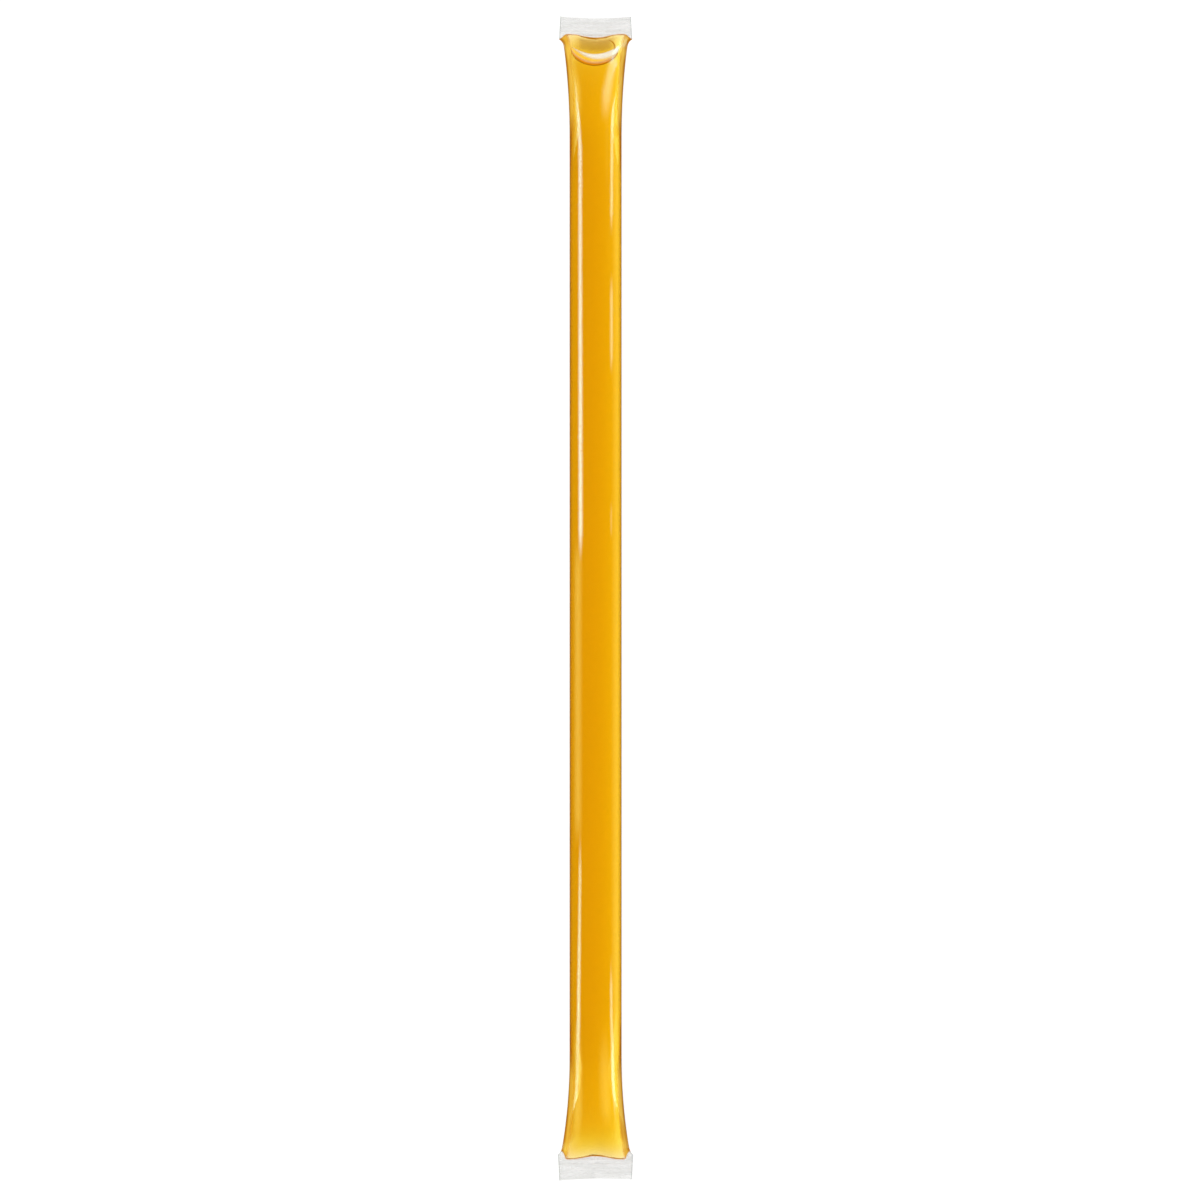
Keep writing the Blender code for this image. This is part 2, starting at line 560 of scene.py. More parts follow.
# %% The one method that makes nodes
class Nodes:
    """A node tree, of a material or of the world."""

    def __init__(self, tree):
        self.tree = tree

    def feed(self, socket, value):
        if isinstance(value, Value):
            self.tree.links.new(value.socket, socket)
        else:
            socket.default_value = value

    def node(self, kind, settings=None, sockets=None, output=0):
        """Makes a node, sets it, fills its sockets with values or links and gives one output."""
        node = self.tree.nodes.new(kind)
        for name, value in (settings or {}).items():
            setattr(node, name, value)
        for name, value in (sockets or {}).items():
            self.feed(node.inputs[name], value)
        return Value(self, node.outputs[output])

    def range(self, value, low, high, to_low, to_high):
        """Maps low to high onto to_low to to_high, with an S-curve and no overshoot."""
        settings = {"interpolation_type": "SMOOTHSTEP"}
        limits = {"From Min": low, "From Max": high, "To Min": to_low, "To Max": to_high}
        return self.node("ShaderNodeMapRange", settings, {"Value": value, **limits})

    def mix(self, factor, first, second):
        """The first colour where the factor is 0 and the second where it is 1."""
        sockets = {0: factor, 6: first, 7: second}
        return self.node("ShaderNodeMix", {"data_type": "RGBA"}, sockets, output=2)


print("class made:", Nodes.__name__)

# %% [markdown]
# A material is a tree with a shader in it. It can also be partly clear, read the marks that a mesh
# holds, and have a grain. Noise stays near its middle, so a range stretches it where it is used.


# %% A material
NOISE_LOW, NOISE_HIGH = 0.3, 0.7


class Finish(Nodes):
    """A material."""

    def __init__(self, name):
        self.material = bpy.data.materials.new(name)
        self.material.use_nodes = True
        super().__init__(self.material.node_tree)
        self.shader = self.tree.nodes["Principled BSDF"]
        self.output = self.tree.nodes["Material Output"]

    def set(self, **sockets):
        """Fills the shader's own sockets. A socket's name is written with _ for each space."""
        for name, value in sockets.items():
            self.feed(self.shader.inputs[name.replace("_", " ")], value)

    def cover(self, share):
        """Mixes this share of the shader with clear, see-through nothing."""
        clear = self.node("ShaderNodeBsdfTransparent")
        sockets = {0: share, 1: clear, 2: Value(self, self.shader.outputs[0])}
        self.feed(self.output.inputs["Surface"], self.node("ShaderNodeMixShader", sockets=sockets))

    def mark(self, name):
        """A number that the mesh holds for each of its corners."""
        return self.node("ShaderNodeAttribute", {"attribute_name": name}, output="Fac")

    def noise(self, scale, detail=2.0):
        """Noise over the part, stretched by a scale for each axis."""
        here = self.node("ShaderNodeTexCoord", output="Object")
        place = self.node("ShaderNodeVectorMath", {"operation": "MULTIPLY"}, {0: here, 1: scale})
        return self.node("ShaderNodeTexNoise", sockets={"Vector": place, "Detail": detail, "Scale": 1.0})

    def bump(self, height, strength, distance):
        sockets = {"Height": height, "Strength": strength, "Distance": distance}
        return self.node("ShaderNodeBump", sockets=sockets)


print("class made:", Finish.__name__, "- noise is stretched from", (NOISE_LOW, NOISE_HIGH))

# %% [markdown]
# ## The honey's finish
#
# Clear honey is glass to a renderer: light bends as it enters and loses some blue and green for each
# millimetre that it travels. So the colour isn't painted on. A volume takes the light away, and the
# thick straw comes out deep amber while the thin wedges at the welds come out pale yellow. Real honey
# is never quite clear either: specks of wax and pollen scatter a little of the light that runs along
# the straw. A volume that scatters would cost minutes, so a very faint glow stands in for that.

# %% Honey
HONEY_IOR = 1.49
LOST_PER_METRE = (51.0, 164.0, 1000.0)  # how fast honey takes red, green and blue out of light
SCATTERED = (0.072, 0.030, 0.0006, 1.0)
HONEY_TINT = (1.0, 0.93, 0.62, 1.0)
HONEY_GRAIN = (900.0, 40.0, 900.0)  # of its noise, for each metre along each axis
GRAIN_DEPTH = 0.1 * MM

honey_finish = Finish("clear_honey")
fine_streaks = honey_finish.noise(HONEY_GRAIN)
honey_finish.set(
    Base_Color=HONEY_TINT,
    Roughness=honey_finish.range(fine_streaks, 0.35, NOISE_HIGH, 0.0, 0.015),
    IOR=HONEY_IOR,
    Transmission_Weight=1.0,
    Normal=honey_finish.bump(fine_streaks, 0.015, GRAIN_DEPTH),
    Emission_Color=SCATTERED,
    Emission_Strength=1.0,
)
density = max(LOST_PER_METRE)
kept = tuple(1 - lost / density for lost in LOST_PER_METRE)
sockets = {"Color": (*kept, 1.0), "Density": density}
absorption = honey_finish.node("ShaderNodeVolumeAbsorption", sockets=sockets)
honey_finish.feed(honey_finish.output.inputs["Volume"], absorption)
honey.data.materials.append(honey_finish.material)
print("honey keeps over each mm:", [round(math.exp(-lost * MM), 3) for lost in LOST_PER_METRE])

# %% [markdown]
# ## The bubble's finish
#
# The skin carries painted light in three bands, placed by its two marks: a cream painted highlight on
# the weld's side, widest towards the right horn, then a burnt orange painted shade, and a thin brown
# line of painted shade at the very front. Between highlight and shade it stays clear. Each band is
# also painted with a faint glow, as little light gets to it through the honey.

# %% The bubble's skin
CREAM_HIGHLIGHT = (0.80, 0.85, 1.0, 1.0)
CREAM_HIGHLIGHT_GLOW = (0.34, 0.46, 0.85, 1.0)
ORANGE_SHADE = (0.50, 0.16, 0.003, 1.0)
ORANGE_SHADE_GLOW = (0.40, 0.15, 0.0, 1.0)
BUBBLE_RIM_SHADE = (0.22, 0.05, 0.001, 1.0)
BUBBLE_RIM_SHADE_GLOW = (0.10, 0.025, 0.0, 1.0)
MOTTLE_GRAIN = (700.0, 700.0, 700.0)
HIGHLIGHT_BAND, HIGHLIGHT_LEAN = (-0.25, 0.10), 0.9  # each band leans to the front towards the right horn
SHADE_BAND, SHADE_LEAN = (0.46, 0.76), 0.2
BUBBLE_RIM_SHADE_BAND = (0.88, 0.98)
LEFT_HORN, LEFT_HIGHLIGHT = (0.1, 0.4), 0.4  # the cream is fainter at the left horn
HIGHLIGHT_COVER, SHADE_COVER, MOTTLE_COVER = 0.9, 0.85, 0.15

bubble_light_finish = Finish("bubble_painted_light")
front = bubble_light_finish.mark("bubble_front")
turn = bubble_light_finish.mark("bubble_turn")
mottle = bubble_light_finish.noise(MOTTLE_GRAIN)
# Painted shade: burnt orange towards the front and a brown rim line; painted highlight: cream on the
# weld's side.
painted_shade = bubble_light_finish.range(front - SHADE_LEAN * turn, *SHADE_BAND, 0.0, 1.0)
behind_rim_shade = bubble_light_finish.range(front, *BUBBLE_RIM_SHADE_BAND, 1.0, 0.0)
painted_highlight = bubble_light_finish.range(front - HIGHLIGHT_LEAN * turn, *HIGHLIGHT_BAND, 1.0, 0.0)
painted_highlight = painted_highlight * bubble_light_finish.range(turn, *LEFT_HORN, LEFT_HIGHLIGHT, 1.0)
front_shade_colour = bubble_light_finish.mix(behind_rim_shade, BUBBLE_RIM_SHADE, ORANGE_SHADE)
front_shade_glow = bubble_light_finish.mix(behind_rim_shade, BUBBLE_RIM_SHADE_GLOW, ORANGE_SHADE_GLOW)
bubble_light_finish.set(
    Base_Color=bubble_light_finish.mix(painted_shade, CREAM_HIGHLIGHT, front_shade_colour),
    Roughness=bubble_light_finish.range(mottle, NOISE_LOW, NOISE_HIGH, 0.25, 0.4),
    Specular_IOR_Level=0.15,
    Emission_Color=bubble_light_finish.mix(painted_shade, CREAM_HIGHLIGHT_GLOW, front_shade_glow),
    Emission_Strength=1.0,
)
bubble_light_finish.cover(HIGHLIGHT_COVER * painted_highlight + painted_shade * (SHADE_COVER + MOTTLE_COVER * mottle))
bubble.data.materials.append(bubble_light_finish.material)
print("nodes in the bubble's finish:", len(bubble_light_finish.tree.nodes))

# %% [markdown]
# ## The film's finish
#
# The straw's wall is too thin to bend light by itself, so it is a mix of a see-through shader and a
# glossy one. On the tube only a little of the glossy one is mixed in, and more where the wall turns
# away, and there its colour is a painted dark amber shade. At the flattened ends the steep sides trap
# light, and clear honey alone would turn dark there. Real honey scatters light and stays golden, so
# gold is painted on the film over those sides as painted light, with a brown line of painted shade
# along each fold; over the middle of each wedge a thin amber glow of the honey's light is painted too.
# Each weld gets a painted brown line of shade as well. In the seals two walls are fused and pressed,
# which leaves them cloudy and whitish.

# %% The film's colours and marks
# Painted light and shade over the honey: an amber glow over the wedges, dark amber at the tube's rims,
# gold on the flattened sides, darker amber behind the bubble, and brown in folds, welds and crease.
WEDGE_GLOW_AMBER = (0.95, 0.42, 0.02, 1.0)
TUBE_RIM_SHADE_AMBER = (0.52, 0.18, 0.006, 1.0)
SIDE_LIGHT_GOLD = (0.83, 0.43, 0.04, 1.0)
BEHIND_BUBBLE_SHADE_AMBER = (0.55, 0.24, 0.02, 1.0)
PAINTED_SHADE_BROWN = (0.50, 0.18, 0.008, 1.0)
CLOUDY_WHITE = (0.845, 0.812, 0.826, 1.0)
SEAL_EDGE_GREY = (0.56, 0.54, 0.55, 1.0)
DRAW_GRAIN = (1500.0, 25.0, 1500.0)  # the fine lines that a straw gets as it is drawn
CLOUD_GRAIN = (350.0, 1800.0, 350.0)

film_finish = Finish("clear_film")
depth = film_finish.mark("honey_depth")
sideways = film_finish.mark("sideways")
draw_lines = film_finish.noise(DRAW_GRAIN)
cloud_noise = film_finish.noise(CLOUD_GRAIN, detail=3.0)
cloudy = film_finish.range(cloud_noise, 0.35, 0.65, 0.0, 1.0)
print("marks on the film:", [mark.name for mark in film.data.attributes if mark.data_type == "FLOAT"])

# %% [markdown]
# Masks tell where on the film a thing shows. Each runs from 0 to 1, and most of them come from the two
# marks on the mesh: the depth in the honey, counted along the stick from the weld, and the place
# across, from 0 in the middle to 1 at the edge. Each mask fades between the two limits in its pair.

# %% Where things show on the film
WELD = (-0.20 * MM, 0.02 * MM)
WEDGE = (3 * MM, 9 * MM)
FLARE = (9 * MM, 14 * MM)
SIDE_LIGHT = (0.76, 0.90)
TUBE_RIM_SHADE = (0.84, 0.97)
FOLD_SHADE = (0.90, 0.97)
SEAL_EDGE = (0.965, 0.99)
FOLD_SHADE_LEFT = 0.45  # of the fold's brown, where the wedge ends

in_seal = film_finish.range(depth, *WELD, 1.0, 0.0)
near_weld = film_finish.range(depth, *WEDGE, 1.0, FOLD_SHADE_LEFT)
# Painted light: an amber glow of the honey's light over the wedges.
wedge = film_finish.range(depth, *WEDGE, 1.0, 0.0)
flare = film_finish.range(depth, *FLARE, 1.0, 0.0)
# Painted light: gold over the sides of the flattened ends.
side = film_finish.range(sideways, *SIDE_LIGHT, 0.0, 1.0)
# Painted shade: dark amber where the tube's wall turns away.
tube_rim_shade = film_finish.range(sideways, *TUBE_RIM_SHADE, 0.0, 1.0)
# Painted shade: brown along each fold of the flattened ends.
fold_shade = film_finish.range(sideways, *FOLD_SHADE, 0.0, 1.0) * near_weld
seal_edge = film_finish.range(sideways, *SEAL_EDGE, 0.0, 1.0)
print("the gold haze ends this far from the weld, mm:", round(FLARE[1] / MM, 1))

# %% [markdown]
# The weld's painted shade is a thin dark line that follows the weld, thicker in the middle of the top
# one. Behind the top bubble the wedge is painted a shade darker, as painted shade too.

# %% Along the welds
THICK_WELD_SHADE = 0.16 * MM
THIN_WELD_SHADE = 0.07 * MM
BOTTOM_SHARE = 0.35  # of the top stain's extra thickness

here = film_finish.node("ShaderNodeTexCoord", output="Object")
along = film_finish.node("ShaderNodeSeparateXYZ", sockets={0: here}, output="Y")
thick_middle = film_finish.range(sideways, 0.20, 0.45, THICK_WELD_SHADE, 0.0)
thick_middle = thick_middle * film_finish.range(along, -10 * MM, 0.0, BOTTOM_SHARE, 1.0)
# Painted shade: a dark line along each weld.
weld_shade = film_finish.range(depth, -0.10 * MM, -0.02 * MM, 0.0, 1.0)
weld_shade = weld_shade * film_finish.range(depth - thick_middle, 0.0, THIN_WELD_SHADE, 1.0, 0.0)
weld_shade = weld_shade * film_finish.range(draw_lines, 0.35, 0.60, 0.35, 1.0)

# Painted shade: the wedge behind the top bubble is painted darker.
behind_bubble_shade = film_finish.range(along, 0.0, 10 * MM, 0.0, 1.0)
behind_bubble_shade = behind_bubble_shade * film_finish.range(sideways, 0.4, 0.7, 1.0, 0.0)
behind_bubble_shade = behind_bubble_shade * film_finish.range(depth, 0.1 * MM, 0.6 * MM, 0.0, 1.0)
behind_bubble_shade = behind_bubble_shade * film_finish.range(depth, 1.6 * MM, 2.4 * MM, 1.0, 0.0)
print("thickest stain, mm:", round((THICK_WELD_SHADE + THIN_WELD_SHADE) / MM, 2))

# %% [markdown]
# The shade of one crease is painted on the upper wall, to the right of the bubble's hollow side: a
# brown quarter of a circle. The distance from a point in space draws the circle, and slopes across and
# along the stick leave only a quarter of it.

# %% The crease beside the bubble
CREASE_CENTRE = (1.42 * MM, 71.0 * MM, AXIS_HEIGHT + 0.85 * MM)
CREASE_RADIUS = 1.03 * MM
CREASE_WIDTH = 0.16 * MM

crease_x, crease_y = CREASE_CENTRE[:2]
to_crease = film_finish.node(
    "ShaderNodeVectorMath", {"operation": "DISTANCE"}, {0: here, 1: CREASE_CENTRE}, output="Value"
)
# Painted shade: the crease's brown line.
crease_shade = film_finish.range(to_crease, CREASE_RADIUS - CREASE_WIDTH, CREASE_RADIUS, 0.0, 1.0)
crease_shade = crease_shade * film_finish.range(to_crease, CREASE_RADIUS, CREASE_RADIUS + CREASE_WIDTH, 1.0, 0.0)
to_right = film_finish.node("ShaderNodeSeparateXYZ", sockets={0: here}, output="X")
crease_shade = crease_shade * film_finish.range(to_right, crease_x, crease_x + CREASE_RADIUS, 0.1, 1.0)
crease_shade = crease_shade * film_finish.range(to_right, crease_x - CREASE_WIDTH, crease_x, 0.0, 1.0)
crease_shade = crease_shade * film_finish.range(along, crease_y - 3 * CREASE_WIDTH, crease_y, 0.0, 1.0)
print("crease, mm along its quarter circle:", round(math.pi / 2 * CREASE_RADIUS / MM, 2))

# %% [markdown]
# Now colours are mixed by the masks, and one sum says how much of the film covers what lies behind it.

# %% Put the film's finish together
CLEAR_WALL = 0.02
TUBE_RIM_SHADE_COVER, SIDE_LIGHT_COVER, WEDGE_GLOW_COVER, BEHIND_BUBBLE_SHADE_COVER = 0.5, 0.85, 0.10, 0.3
SEAL_COVER, CLOUD_COVER, SEAL_EDGE_COVER = 0.36, 0.38, 0.2
WELD_SHADE_COVER, CREASE_SHADE_COVER = 0.9, 0.85
TUBE_ROUGHNESS, SEAL_ROUGHNESS = 0.08, 0.30
LINE_DEPTH = 0.05 * MM

# The painted light and shade over the honey are mixed here with the seals' own cloudy white.
flare_light_colour = film_finish.mix(side, WEDGE_GLOW_AMBER, SIDE_LIGHT_GOLD)
honey_side = film_finish.mix(flare, TUBE_RIM_SHADE_AMBER, film_finish.mix(behind_bubble_shade, flare_light_colour, BEHIND_BUBBLE_SHADE_AMBER))
honey_side = film_finish.mix(fold_shade, honey_side, PAINTED_SHADE_BROWN)
seal_side = film_finish.mix(seal_edge, CLOUDY_WHITE, SEAL_EDGE_GREY)
before_line_shades = film_finish.mix(in_seal, honey_side, seal_side)
film_finish.set(
    Base_Color=film_finish.mix(weld_shade + crease_shade, before_line_shades, PAINTED_SHADE_BROWN),
    Roughness=TUBE_ROUGHNESS + (SEAL_ROUGHNESS - TUBE_ROUGHNESS) * in_seal,
    Normal=film_finish.bump(draw_lines + in_seal * cloudy, 0.15, LINE_DEPTH),
)
on_body = (1 - flare) * (CLEAR_WALL + TUBE_RIM_SHADE_COVER * tube_rim_shade)
at_ends = flare * (SIDE_LIGHT_COVER * side + fold_shade + WEDGE_GLOW_COVER * wedge + BEHIND_BUBBLE_SHADE_COVER * behind_bubble_shade)
on_honey = CLEAR_WALL + (1 - in_seal) * (on_body + at_ends)
on_seal = SEAL_COVER + CLOUD_COVER * cloudy + SEAL_EDGE_COVER * seal_edge
film_finish.cover(on_honey + in_seal * on_seal + WELD_SHADE_COVER * weld_shade + CREASE_SHADE_COVER * crease_shade)
film.data.materials.append(film_finish.material)
print("nodes in the film's finish:", len(film_finish.tree.nodes))

# %% [markdown]
# The inner face of the wall touches honey almost everywhere, and light passes between the two as if
# nothing were there. So it is all but invisible, with only a breath of gloss for the bubble's sake.

# %% Inner face of the film
INNER_BROWN = (0.05, 0.03, 0.01, 1.0)
INNER_GRAIN = (800.0, 60.0, 800.0)
INNER_COVER = 0.005

inner_finish = Finish("film_inner_face")
inner_lines = inner_finish.noise(INNER_GRAIN)
inner_finish.set(
    Base_Color=INNER_BROWN,
    Roughness=inner_finish.range(inner_lines, NOISE_LOW, NOISE_HIGH, 0.05, 0.15),
)
inner_finish.cover(INNER_COVER)
film.data.materials.append(inner_finish.material)
print("finishes on the film:", [material.name for material in film.data.materials])

# %% [markdown]
# ## Floor, light and camera
#
# The stick lies on a white floor under a white dome, so the light is even and the shadow faint. Clear
# things get their looks from what they mirror. The dome and the floor are left out of mirrored light,
# and long light cards to the left and right draw the streaks, as strip boxes do in a studio.

# %% Floor
FLOOR_DROP = 0.02 * MM
FLOOR_HALF = 2.0
FLOOR_GLOW = 0.88
FLOOR_GREY = (0.2, 0.2, 0.2, 1.0)
WHITE = (1.0, 1.0, 1.0, 1.0)
PAPER_GRAIN = (60.0, 60.0, 60.0)

floor_shape = bmesh.new()
bmesh.ops.create_grid(floor_shape, x_segments=1, y_segments=1, size=FLOOR_HALF)
floor_mesh = bpy.data.meshes.new("floor")
floor_shape.to_mesh(floor_mesh)
floor_shape.free()
floor = bpy.data.objects.new("floor", floor_mesh)
floor.location.z = -FLOOR_DROP
bpy.context.scene.collection.objects.link(floor)
floor.visible_glossy = False
floor.visible_transmission = False
floor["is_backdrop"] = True

floor_finish = Finish("pale_floor")
paper = floor_finish.noise(PAPER_GRAIN)
floor_finish.set(
    Base_Color=FLOOR_GREY,
    Roughness=floor_finish.range(paper, NOISE_LOW, NOISE_HIGH, 0.85, 0.95),
    Specular_IOR_Level=0.0,
    Emission_Color=WHITE,
    Emission_Strength=FLOOR_GLOW,
)
floor.data.materials.append(floor_finish.material)
print("floor, m across:", 2 * FLOOR_HALF)

# %% [markdown]
# The dome is brighter on the left, and a little dimmer round the horizon: the straw bends the view of
# its rims that way, and they come out a shade darker than its middle, which draws its outline.

# %% Dome
LEFT_TINT = (1.0, 1.13, 1.0, 1.0)
RIGHT_TINT = (1.0, 0.94, 1.0, 1.0)
LEFT_LIGHT, RIGHT_LIGHT = 1.26, 0.84
HORIZON_LIGHT = 0.55

world = bpy.data.worlds.new("dome")
bpy.context.scene.world = world
world.use_nodes = True
world.cycles_visibility.glossy = False

sky = Nodes(world.node_tree)
background = sky.tree.nodes["Background"]
towards = sky.node("ShaderNodeTexCoord", output="Generated")
left_to_right = sky.node("ShaderNodeSeparateXYZ", sockets={0: towards}, output="X")
up = sky.node("ShaderNodeSeparateXYZ", sockets={0: towards}, output="Z")
from_left = sky.range(left_to_right, -0.8, 0.8, 1.0, 0.0)
sideways_light = sky.range(left_to_right, -1.0, 1.0, LEFT_LIGHT, RIGHT_LIGHT)
below_horizon = sky.range(up, -0.5, -0.1, 1.0, HORIZON_LIGHT)
above_horizon = sky.range(up, 0.0, 0.3, 0.0, 1 - HORIZON_LIGHT)
sky.feed(background.inputs["Color"], sky.mix(from_left, RIGHT_TINT, LEFT_TINT))
sky.feed(background.inputs["Strength"], sideways_light * (below_horizon + above_horizon))
print("the dome's left is brighter than its right by", round(LEFT_LIGHT / RIGHT_LIGHT, 2))

# %% [markdown]
# The camera looks straight down from high above with a long lens, so that the stick hardly narrows
# towards its ends. A point of the picture, in pixels, is a place on the stick: the picture's scale
# follows from the stick's length and from where its two cut edges lie in it.

# %% Camera
PICTURE_SIZE = 1200
STICK_TOP_PX, STICK_BOTTOM_PX = 16.5, 1180.5
STICK_MIDDLE_PX = (595.6, (STICK_TOP_PX + STICK_BOTTOM_PX) / 2)
PIXEL = STICK_LENGTH / (STICK_BOTTOM_PX - STICK_TOP_PX)
CAMERA_HEIGHT = 1.2


def across_place(x_px):
    return (x_px - STICK_MIDDLE_PX[0]) * PIXEL


def along_place(y_px):
    return (STICK_MIDDLE_PX[1] - y_px) * PIXEL


camera_data = bpy.data.cameras.new("camera")
camera_data.sensor_width = 36.0
camera_data.lens = camera_data.sensor_width * CAMERA_HEIGHT / (PICTURE_SIZE * PIXEL)
camera = bpy.data.objects.new("camera", camera_data)
camera.location = (
    across_place(PICTURE_SIZE / 2),
    along_place(PICTURE_SIZE / 2),
    AXIS_HEIGHT + CAMERA_HEIGHT,
)
bpy.context.scene.collection.objects.link(camera)
bpy.context.scene.camera = camera
print("lens, mm:", round(camera_data.lens, 1))

# %% [markdown]
# A card shows as a streak where the honey's surface is tilted halfway between it and the camera. So
# each card is placed from its streak. That needs the height of the honey's upper face at any place.
# How far across a place is depends on the width there, and the width on how far across, so the two
# are found in turns.


# %% Where the honey mirrors a card
SEARCH_ROUNDS = 4
STEP = 0.02 * MM


def honey_top(x, y):
    """Height of the honey's upper face."""
    end = TOP_END if y > 0 else BOTTOM_END
    across = 0.0
    for _ in range(SEARCH_ROUNDS):
        inside = max(weld_line(end, across) - abs(y), 0.0)
        width = half_width(end, inside, FILLED_CORNER) - HONEY_INSET
        across = min(max(x / width, -1.0), 1.0)
    up = math.sqrt(1 - across**2)
    return AXIS_HEIGHT + (half_height(inside) - HONEY_INSET) * up + pucker(end, across, inside) * up**2


def mirrored_spot(x_px, y_px, distance):
    """The place that the honey mirrors to the camera at this point of the picture."""
    x, y = across_place(x_px), along_place(y_px)
    slope_x = (honey_top(x + STEP, y) - honey_top(x - STEP, y)) / (2 * STEP)
    slope_y = (honey_top(x, y + STEP) - honey_top(x, y - STEP)) / (2 * STEP)
    normal = Vector((-slope_x, -slope_y, 1.0)).normalized()
    spot = Vector((x, y, honey_top(x, y)))
    to_camera = (camera.location - spot).normalized()
    return spot + distance * (2 * normal.dot(to_camera) * normal - to_camera)


print("a streak at the left needs a card at, m:", [round(v, 3) for v in mirrored_spot(580.5, 300, 0.25)])

# %% [markdown]
# Each card is a ribbon, bent so that the honey's curved surface mirrors it as the streak that is
# wanted. It glows most along its middle and fades to its borders, as a strip box behind a diffuser
# does, and where it is dim it is see-through, so that it doesn't hide a card behind it. The stops of a
# streak give its place in the picture, its width there and how bright it is. Honey mirrors only about
# a twenty-fifth of the light that meets it, so the cards are bright.

# %% Streaks
CLEAR = (0.55, 1.0, 1.0, 1.0)
PALE = (0.55, 1.0, 0.75, 1.0)  # over amber this looks cream
GOLD = (0.80, 1.0, 0.27, 1.0)
COOL = (0.2, 0.7, 1.0, 1.0)


@dataclass(frozen=True)
class Streak:
    """A streak on the honey. Each stop is x and y in the picture, a width in pixels and a brightness."""

    name: str
    colour: tuple
    stops: tuple


STREAKS = (
    Streak(
        "left_long_tip",
        PALE,
        ((574.2, 74, 3.2, 0), (576.6, 96, 3.6, 5), (578.6, 122, 4.2, 7), (580, 150, 4.5, 0)),
    ),
    Streak(
        "left_long",
        CLEAR,
        ((578.6, 110, 4, 0), (580.2, 150, 5.8, 12), (580.6, 525, 6.3, 14.5), (580.6, 566, 4, 0)),
    ),
    Streak(
        "left_faint",
        GOLD,
        ((578.3, 530, 10, 0), (578.3, 575, 10, 3.6), (578.3, 810, 10, 3.6), (578.3, 850, 10, 0)),
    ),
    Streak(
        "left_short",
        PALE,
        ((580.2, 826, 3, 0), (580, 880, 4.4, 10), (578.6, 1020, 5.2, 12), (577.2, 1090, 4.4, 0)),
    ),
    Streak(
        "left_flare_top",
        GOLD,
        ((570, 44, 9, 0.5), (572.5, 62, 10, 2), (576.5, 90, 12, 4.5), (578.5, 130, 12, 0)),
    ),
    Streak(
        "left_flare_bottom",
        GOLD,
        ((578, 1000, 8, 0), (578.5, 1080, 11, 4), (578, 1112, 12, 4), (576, 1144, 10, 1)),
    ),
    Streak(
        "right_upper",
        PALE,
        ((613.8, 92, 3.5, 0), (612.2, 125, 4.2, 8), (611.4, 200, 4.5, 8), (611.4, 240, 3.5, 0)),
    ),
    Streak(
        "right_middle",
        PALE,
        ((611.4, 272, 3.5, 0), (611.4, 300, 4.5, 6), (611.4, 350, 4.5, 6), (611.4, 378, 3.5, 0)),
    ),
    Streak(
        "right_small",
        PALE,
        ((611.2, 500, 2.6, 0), (611.2, 512, 3, 2.6), (611.2, 528, 3, 2.6), (611.2, 540, 2.6, 0)),
    ),
    Streak(
        "right_lower",
        PALE,
        ((611, 950, 3, 0), (611.2, 1012, 4, 8), (613.2, 1080, 4.4, 8), (615.6, 1126, 3.4, 0)),
    ),
    Streak(
        "right_broad",
        GOLD,
        ((616, 120, 9, 1.6), (616, 400, 10, 1.2), (615.5, 800, 11, 1.6), (615.5, 1060, 10, 2.4)),
    ),
    Streak(
        "right_flare_top",
        GOLD,
        ((621, 44, 8, 1), (619.5, 65, 8, 3), (617, 95, 8, 3), (616, 130, 8, 0)),
    ),
    Streak(
        "right_flare_bottom",
        GOLD,
        ((615, 1040, 8, 0), (616, 1095, 8, 2.2), (617, 1125, 9, 2.5), (618, 1144, 8, 1)),
    ),
    Streak(
        "right_patch_corner",
        COOL,
        ((611, 54.5, 5, 0), (615.5, 50.5, 8, 7), (621, 46, 7, 8), (627, 41, 4, 0)),
    ),
    Streak(
        "right_patch_top",
        PALE,
        ((616, 50, 8, 3), (611.5, 68, 12, 6), (607, 92, 14, 5.5), (604.5, 126, 11, 0)),
    ),
    Streak(
        "right_patch_bottom",
        GOLD,
        ((604, 1020, 11, 0), (605, 1075, 16, 2.8), (606, 1105, 16, 2.7), (608, 1130, 14, 0)),
    ),
)
print("streaks:", len(STREAKS))

# %% [markdown]
# Between two stops the place runs straight on, while the width and the brightness follow an S-curve.

# %% Points along a streak
STEPS_BETWEEN_STOPS = 16


def streak_path(streak):
    """Points close together along a streak, each with its width and brightness."""
    points = []
    for first, following in zip(streak.stops, streak.stops[1:]):
        for step in range(STEPS_BETWEEN_STOPS):
            share = smooth_step(0, STEPS_BETWEEN_STOPS, step)
            shares = (step / STEPS_BETWEEN_STOPS, step / STEPS_BETWEEN_STOPS, share, share)
            points.append([a + (b - a) * t for a, b, t in zip(first, following, shares)])
    points.append(list(streak.stops[-1]))
    return points


print("points along the first streak:", len(streak_path(STREAKS[0])))

# %% [markdown]
# Each card stands a little behind the last, so that none cuts through another. A card isn't seen by
# the camera or through the honey, lights no floor and casts no shadow: it draws its streak and nothing
# else.

# %% Bend a card for each streak
NEAREST_CARD = 0.25
CARD_STEP = 0.004
LINES_ACROSS = 11
BRIGHTEST = 15.0
BLACK = (0.0, 0.0, 0.0, 1.0)


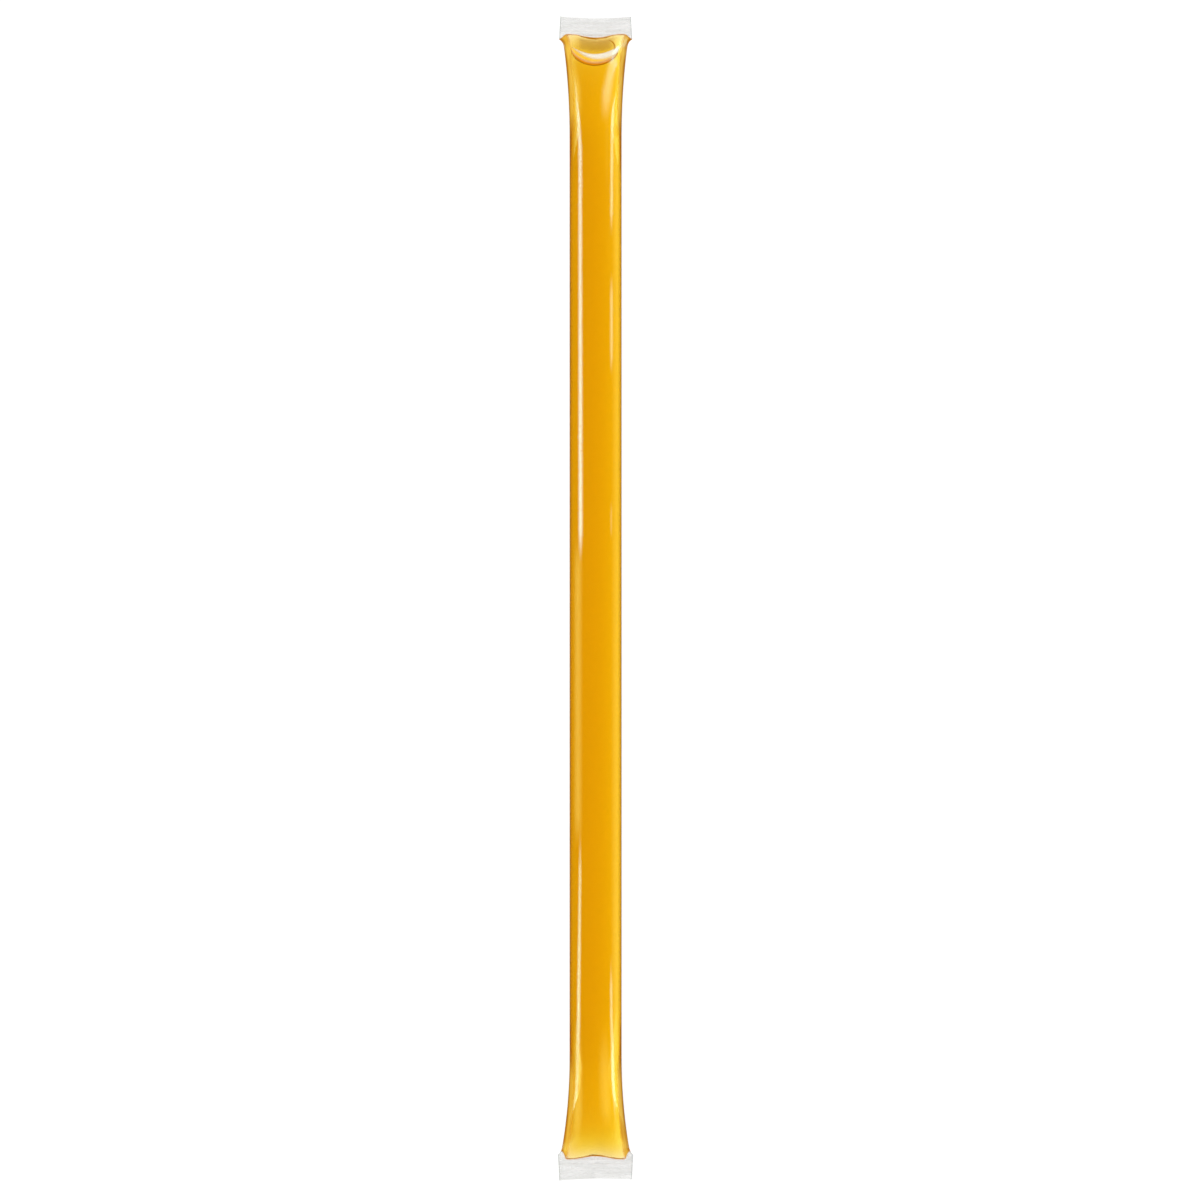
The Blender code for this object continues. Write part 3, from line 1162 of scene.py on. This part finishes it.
def add_card(streak, distance):
    """A glowing ribbon, clear at its borders, that only mirrored light sees."""
    path = streak_path(streak)
    shape = new_shape("glow")
    glow = shape.verts.layers.float["glow"]
    rows = []
    for i, (x, y, width, brightness) in enumerate(path):
        before, after = path[max(i - 1, 0)], path[min(i + 1, len(path) - 1)]
        along = Vector((after[0] - before[0], after[1] - before[1])).normalized()
        row = []
        for line in range(LINES_ACROSS):
            aside = 2 * line / (LINES_ACROSS - 1) - 1
            shift = along.orthogonal() * aside * width / 2
            corner = shape.verts.new(mirrored_spot(x + shift.x, y + shift.y, distance))
            corner[glow] = brightness / BRIGHTEST * (1 - aside**2) ** 2
            row.append(corner)
        rows.append(row)
    for row, following in zip(rows, rows[1:]):
        for i in range(LINES_ACROSS - 1):
            shape.faces.new((row[i], row[i + 1], following[i + 1], following[i]))
    mesh = bpy.data.meshes.new(streak.name)
    shape.to_mesh(mesh)
    shape.free()
    card = bpy.data.objects.new(streak.name, mesh)
    card.visible_camera = False
    card.visible_diffuse = False
    card.visible_transmission = False
    card.visible_volume_scatter = False
    card.visible_shadow = False
    bpy.context.scene.collection.objects.link(card)
    card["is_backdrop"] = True
    finish = Finish(streak.name)
    finish.set(
        Base_Color=BLACK,
        Specular_IOR_Level=0.0,
        Emission_Color=streak.colour,
        Emission_Strength=BRIGHTEST,
    )
    finish.cover(finish.mark("glow"))
    mesh.materials.append(finish.material)


for number, streak in enumerate(STREAKS):
    add_card(streak, NEAREST_CARD + number * CARD_STEP)
print("cards:", len(STREAKS))

# %% [markdown]
# The colours are meant as seen, so the picture is shown without a film-like curve. Light crosses many
# faces on its way through film, honey and bubble, so it may bounce often.

# %% Colour and close
bpy.context.scene.view_settings.view_transform = "Standard"
MANY_BOUNCES = 24
bounces = bpy.context.scene.cycles
bounces.max_bounces = MANY_BOUNCES
bounces.transmission_bounces = MANY_BOUNCES
bounces.diffuse_bounces = 6
bounces.transparent_max_bounces = 64

low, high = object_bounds()
print("visual model, mm:", [round(side / MM, 2) for side in high - low])
